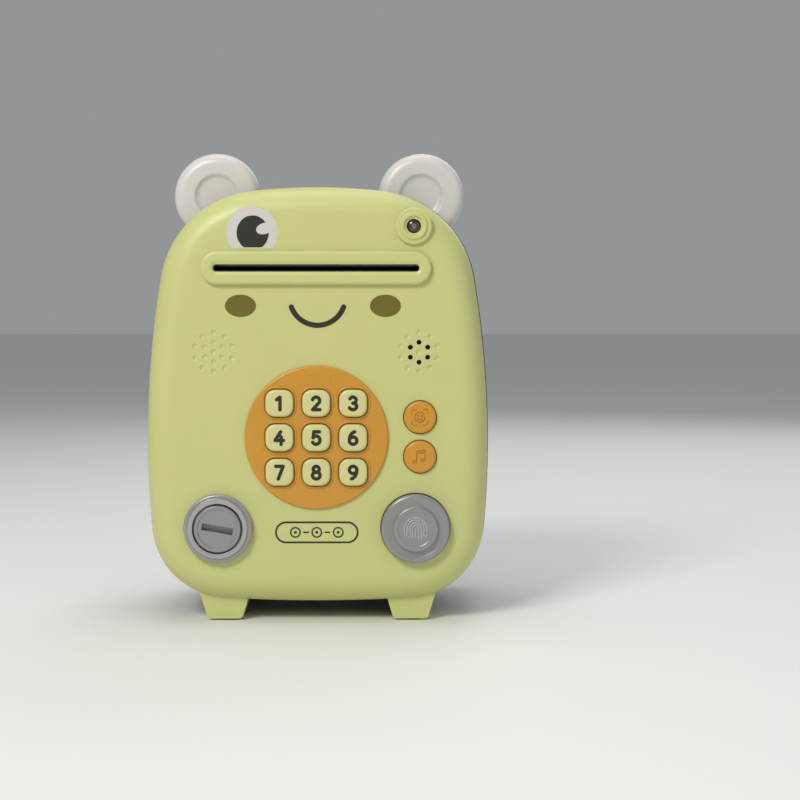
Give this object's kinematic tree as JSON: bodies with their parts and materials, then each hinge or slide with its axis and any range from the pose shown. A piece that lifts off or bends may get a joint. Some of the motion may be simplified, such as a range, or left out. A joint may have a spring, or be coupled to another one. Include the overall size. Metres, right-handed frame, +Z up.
{
  "type": "toy atm savings bank",
  "caption": "Toy cash-machine savings bank with a frog face, note slot, keypad, key lock and fingerprint button; the front is a hinged door.",
  "frame": {"origin": "on the floor, under the middle of the overall box", "axes": "+Z up, the face looks along -Y, +X to the right of someone facing it"},
  "size_m": [0.14, 0.0944, 0.191],
  "materials": {
    "light_green_plastic": "satin moulded plastic",
    "dark_green_plastic": "satin moulded plastic",
    "white_plastic": "satin moulded plastic",
    "orange_plastic": "satin moulded plastic",
    "silver_plastic": "silver-grey moulded plastic",
    "smoked_plastic": "smoky clear plastic",
    "grey_plastic": "plain inner moulding",
    "natural_plastic": "unpigmented nylon",
    "black_rubber": "matt rubber",
    "circuit_board": "solder mask",
    "bright_steel": "zinc-plated steel",
    "speaker_paper": "black cone and basket",
    "cell_jacket": "plain shrink sleeve",
    "cable_film": "flat cable"
  },
  "bodies": {
    "case": {"rear_case": "dark_green_plastic", "left_ear": "white_plastic", "right_ear": "white_plastic", "ear_screws": "bright_steel", "hinge_pins": "bright_steel"},
    "door": {"front_shell": "light_green_plastic", "slot_bezel": "light_green_plastic", "sensor_ring": "light_green_plastic", "sensor_lens": "smoked_plastic", "keypad_plate": "orange_plastic", "keypad_mat": "black_rubber", "keypad_board": "circuit_board", "button_board": "circuit_board", "fingerprint_board": "circuit_board", "main_board": "circuit_board", "ribbon_cable": "cable_film", "board_screws": "bright_steel", "speaker": "speaker_paper", "lock_ring": "silver_plastic", "lock_nut": "grey_plastic", "latch_solenoid": "bright_steel", "inner_cover": "dark_green_plastic", "cover_screws": "bright_steel", "battery_cells": "cell_jacket", "battery_contacts": "bright_steel", "battery_springs": "bright_steel", "battery_cover": "dark_green_plastic", "battery_screw": "bright_steel", "feeder_frame": "grey_plastic", "feeder_screws": "bright_steel", "feed_motor": "bright_steel", "lower_hinge_arm": "dark_green_plastic", "upper_hinge_arm": "dark_green_plastic", "arm_screws": "bright_steel"},
    "key_1": {"key_1": "light_green_plastic"},
    "key_2": {"key_2": "light_green_plastic"},
    "key_3": {"key_3": "light_green_plastic"},
    "key_4": {"key_4": "light_green_plastic"},
    "key_5": {"key_5": "light_green_plastic"},
    "key_6": {"key_6": "light_green_plastic"},
    "key_7": {"key_7": "light_green_plastic"},
    "key_8": {"key_8": "light_green_plastic"},
    "key_9": {"key_9": "light_green_plastic"},
    "face_button": {"face_button": "orange_plastic"},
    "music_button": {"music_button": "orange_plastic"},
    "fingerprint_button": {"fingerprint_button": "silver_plastic"},
    "lock": {"lock_cylinder": "silver_plastic", "lock_cam": "natural_plastic", "cam_screw": "bright_steel"},
    "latch": {"latch_bolt": "natural_plastic", "latch_plunger": "bright_steel", "latch_spring": "bright_steel"},
    "drive": {"drive_shaft": "bright_steel", "drive_gear": "natural_plastic", "drive_rollers": "black_rubber"},
    "pinion": {"motor_pinion": "natural_plastic"},
    "pinch": {"pinch_shaft": "bright_steel", "pinch_rollers": "black_rubber"}
  },
  "joints": [
    {"name": "door_swing", "type": "hinge", "parent": "case", "child": "door", "pos_m": [0.0625, -0.00685, 0], "axis": [0, 0, 1], "range_deg": [0, 90]},
    {"name": "key_1_press", "type": "slide", "parent": "door", "child": "key_1", "axis": [0, 1, 0], "range_m": [0, 0.0012], "stiffness_N_per_m": 400},
    {"name": "key_2_press", "type": "slide", "parent": "door", "child": "key_2", "axis": [0, 1, 0], "range_m": [0, 0.0012], "stiffness_N_per_m": 400},
    {"name": "key_3_press", "type": "slide", "parent": "door", "child": "key_3", "axis": [0, 1, 0], "range_m": [0, 0.0012], "stiffness_N_per_m": 400},
    {"name": "key_4_press", "type": "slide", "parent": "door", "child": "key_4", "axis": [0, 1, 0], "range_m": [0, 0.0012], "stiffness_N_per_m": 400},
    {"name": "key_5_press", "type": "slide", "parent": "door", "child": "key_5", "axis": [0, 1, 0], "range_m": [0, 0.0012], "stiffness_N_per_m": 400},
    {"name": "key_6_press", "type": "slide", "parent": "door", "child": "key_6", "axis": [0, 1, 0], "range_m": [0, 0.0012], "stiffness_N_per_m": 400},
    {"name": "key_7_press", "type": "slide", "parent": "door", "child": "key_7", "axis": [0, 1, 0], "range_m": [0, 0.0012], "stiffness_N_per_m": 400},
    {"name": "key_8_press", "type": "slide", "parent": "door", "child": "key_8", "axis": [0, 1, 0], "range_m": [0, 0.0012], "stiffness_N_per_m": 400},
    {"name": "key_9_press", "type": "slide", "parent": "door", "child": "key_9", "axis": [0, 1, 0], "range_m": [0, 0.0012], "stiffness_N_per_m": 400},
    {"name": "face_button_press", "type": "slide", "parent": "door", "child": "face_button", "axis": [0, 1, 0], "range_m": [0, 0.001], "stiffness_N_per_m": 400},
    {"name": "music_button_press", "type": "slide", "parent": "door", "child": "music_button", "axis": [0, 1, 0], "range_m": [0, 0.001], "stiffness_N_per_m": 400},
    {"name": "fingerprint_press", "type": "slide", "parent": "door", "child": "fingerprint_button", "axis": [0, 1, 0], "range_m": [0, 0.0012], "stiffness_N_per_m": 500},
    {"name": "lock_turn", "type": "hinge", "parent": "door", "child": "lock", "pos_m": [-0.0395, -0.04155, 0.0385], "axis": [0, -1, 0], "range_deg": [0, 90]},
    {"name": "latch_slide", "type": "slide", "parent": "door", "child": "latch", "axis": [-1, 0, 0], "range_m": [0, 0.00509]},
    {"name": "drive_spin", "type": "hinge", "parent": "door", "child": "drive", "pos_m": [0, -0.02755, 0.13635], "axis": [1, 0, 0], "continuous": true},
    {"name": "pinion_spin", "type": "hinge", "parent": "door", "child": "pinion", "pos_m": [0, -0.02755, 0.12195], "axis": [1, 0, 0], "continuous": true},
    {"name": "pinch_spin", "type": "hinge", "parent": "door", "child": "pinch", "pos_m": [0, -0.02755, 0.14665], "axis": [1, 0, 0], "continuous": true}
  ],
  "couplings": [
    {"joint": "lock_turn", "follows": "latch_slide", "rad_per_m": 308.53},
    {"joint": "pinion_spin", "follows": "drive_spin", "ratio": -2.6},
    {"joint": "pinch_spin", "follows": "drive_spin", "ratio": -1.5}
  ]
}
